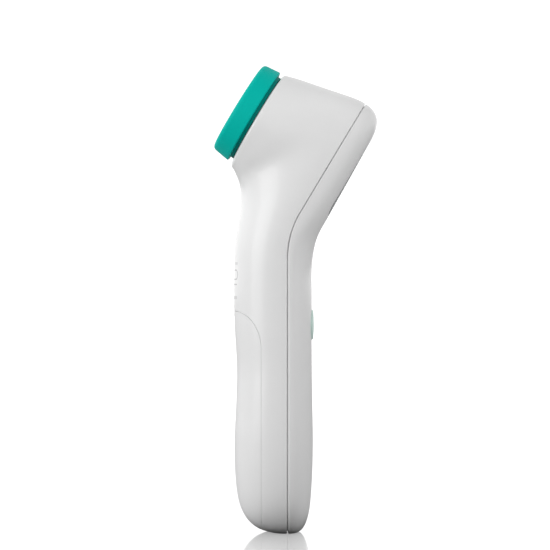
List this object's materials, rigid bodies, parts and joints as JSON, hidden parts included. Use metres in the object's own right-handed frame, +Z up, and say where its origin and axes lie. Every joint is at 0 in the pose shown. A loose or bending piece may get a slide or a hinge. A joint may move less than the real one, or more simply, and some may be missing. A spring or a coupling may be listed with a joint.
{
  "type": "infrared ear thermometer",
  "caption": "Handheld infrared ear and forehead thermometer with a bent head, a pull-off round cap, a display window and a battery handle.",
  "frame": {"origin": "middle of the flat foot, in the plane where the casing halves meet in the handle", "axes": "+Z up the handle, -X to the side the nose points to, +X to the display side, +Y across the width"},
  "size_m": [0.0541, 0.038, 0.1532],
  "materials": {
    "casing_white": "satin moulded plastic",
    "cap_teal": "soft satin moulded plastic",
    "button_mint": "satin moulded plastic",
    "inner_plastic": "moulded plastic",
    "black_plastic": "moulded plastic",
    "window_clear": "clear window",
    "probe_window": "dark infrared window",
    "lcd_glass": "liquid crystal panel",
    "diffuser": "milky light guide",
    "elastomer": "conductive rubber",
    "screw_steel": "plated steel",
    "magnet_nickel": "nickel plated",
    "gold_plate": "gold plated",
    "contact_metal": "plated brass",
    "spring_steel": "plated spring wire",
    "circuit_board": "solder mask",
    "chip_black": "moulded chip body",
    "component_body": "ceramic and metal bodies",
    "flex_amber": "polyimide film",
    "cell_jacket": "printed steel jacket",
    "lead_red": "insulated wire"
  },
  "bodies": {
    "body": {"front_shell": "casing_white", "rear_cover": "casing_white", "case_screws": "screw_steel", "probe_screws": "screw_steel", "board_screws": "screw_steel", "button_board_screws": "screw_steel", "sensor_screws": "screw_steel", "keeper_ring": "screw_steel", "probe_cone": "inner_plastic", "probe_window": "probe_window", "waveguide_tube": "gold_plate", "sensor_holder": "inner_plastic", "thermopile_sensor": "gold_plate", "sensor_board": "circuit_board", "cap_detector": "chip_black", "sensor_cable": "flex_amber", "display_window": "window_clear", "lcd_panel": "lcd_glass", "lcd_frame": "inner_plastic", "backlight_panel": "diffuser", "contact_strip": "elastomer", "main_board": "circuit_board", "control_chip": "chip_black", "board_components": "component_body", "buzzer": "black_plastic", "switch_body": "black_plastic", "button_board": "circuit_board", "board_ribbon": "flex_amber", "battery_tray": "inner_plastic", "battery_cell_left": "cell_jacket", "battery_cell_right": "cell_jacket", "battery_springs": "spring_steel", "battery_contacts": "contact_metal", "battery_leads": "lead_red"},
    "cap": {"forehead_cap": "cap_teal", "cap_magnets": "magnet_nickel"},
    "door": {"battery_door": "casing_white"},
    "button": {"scan_button": "button_mint"},
    "plunger": {"switch_plunger": "inner_plastic"}
  },
  "joints": [
    {"name": "cap_pull", "type": "slide", "parent": "body", "child": "cap", "axis": [-0.8572, 0, 0.515], "range_m": [0, 0.015]},
    {"name": "door_slide", "type": "slide", "parent": "body", "child": "door", "axis": [0, 0, -1], "range_m": [0, 0.075]},
    {"name": "button_press", "type": "slide", "parent": "body", "child": "button", "axis": [-1, 0, 0], "range_m": [0, 0.0004], "stiffness_N_per_m": 400},
    {"name": "plunger_press", "type": "slide", "parent": "body", "child": "plunger", "axis": [-1, 0, 0], "range_m": [0, 0.0004]}
  ],
  "couplings": [
    {"joint": "plunger_press", "follows": "button_press", "ratio": 1}
  ]
}
